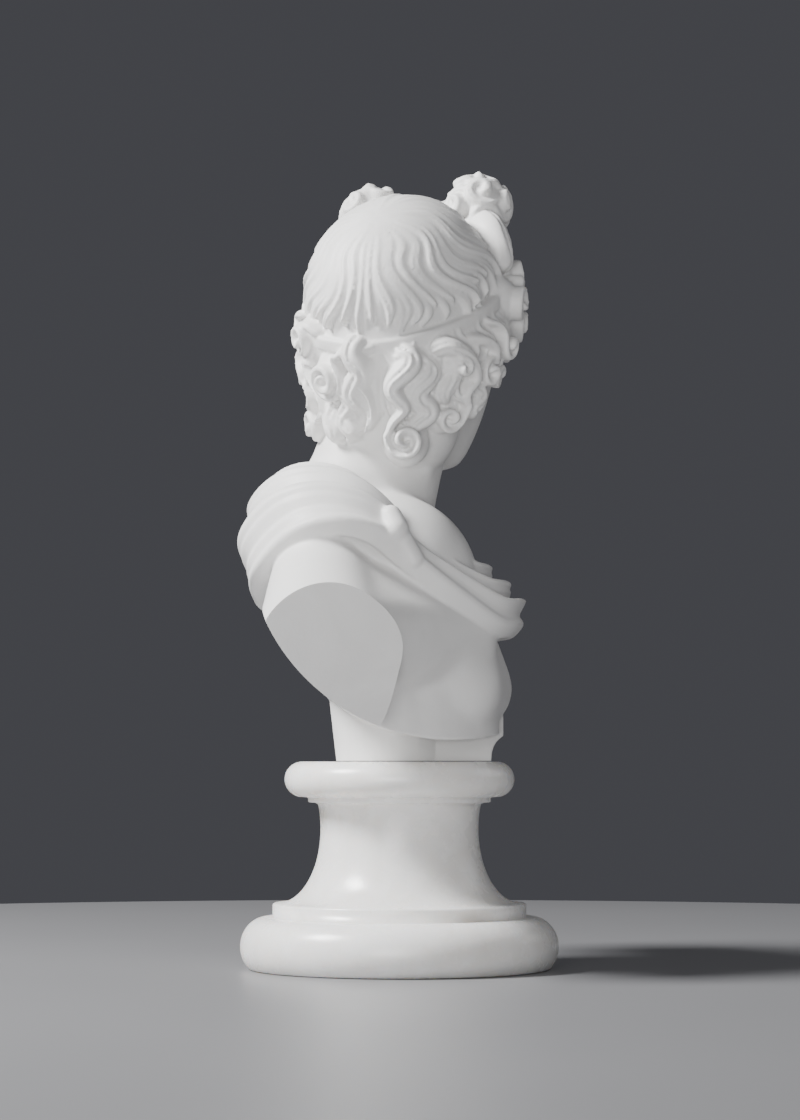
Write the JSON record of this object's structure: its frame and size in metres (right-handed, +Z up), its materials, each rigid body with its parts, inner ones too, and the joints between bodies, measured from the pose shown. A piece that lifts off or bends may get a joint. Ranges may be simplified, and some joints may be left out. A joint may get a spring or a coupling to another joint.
{
  "type": "classical bust on turned plinth",
  "caption": "Bust of a classical youth with bound curly hair and a cloak on the shoulders, carved with its foot, on a round turned plinth with rolls and a hollow waist.",
  "frame": {"origin": "centre of the plinth's underside", "axes": "+Z up along the plinth's turning axis, -Y the way the chest faces, -X the side of the figure's right arm"},
  "size_m": [0.1751, 0.123, 0.3061],
  "materials": {
    "bust_marble": "matt white cast marble",
    "plinth_alabaster": "polished warm white alabaster"
  },
  "bodies": {
    "root": {"bust": "bust_marble", "plinth": "plinth_alabaster"}
  },
  "joints": []
}
